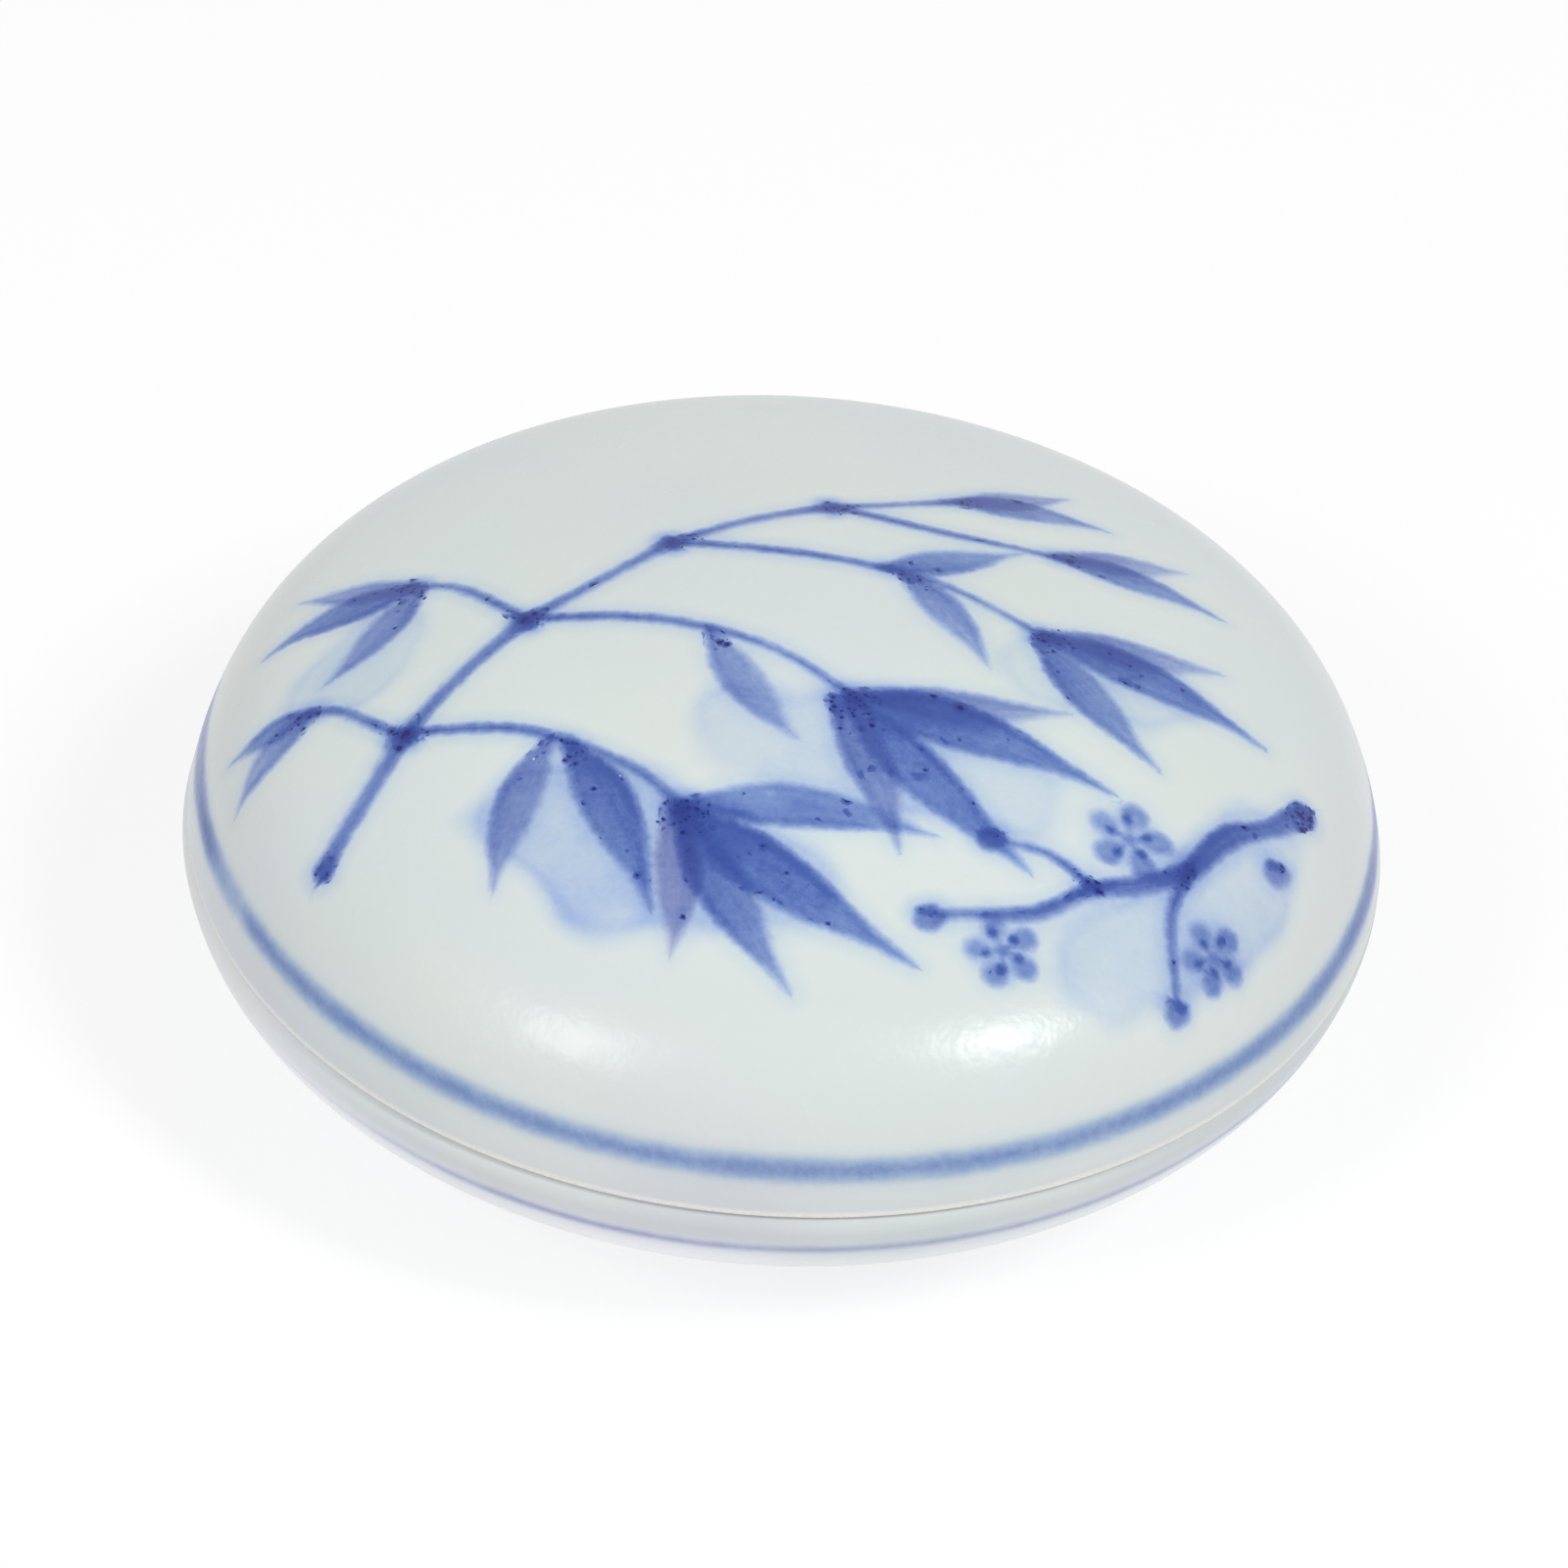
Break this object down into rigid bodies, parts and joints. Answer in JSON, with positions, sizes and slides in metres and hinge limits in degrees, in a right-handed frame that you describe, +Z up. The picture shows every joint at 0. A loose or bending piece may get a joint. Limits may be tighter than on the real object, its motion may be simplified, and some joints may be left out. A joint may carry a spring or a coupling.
{
  "type": "seal paste box",
  "caption": "Round porcelain box for vermilion seal paste: a low domed lid sits over the collar of a shallow footed base that holds a mound of paste.",
  "frame": {"origin": "centre of the foot ring's resting face, on the box's own axis", "axes": "+Z up along the axis through the middle of the lid; -Y is the side that the picture looks at"},
  "size_m": [0.0966, 0.0966, 0.04],
  "materials": {
    "base_glaze": "gloss",
    "lid_glaze": "gloss",
    "paste": "satin"
  },
  "bodies": {
    "box_base": {"base": "base_glaze", "seal_paste": "paste"},
    "box_lid": {"lid": "lid_glaze"}
  },
  "joints": [
    {"name": "lid_lift", "type": "slide", "parent": "box_base", "child": "box_lid", "axis": [0, 0, 1], "range_m": [0, 0.06]}
  ]
}
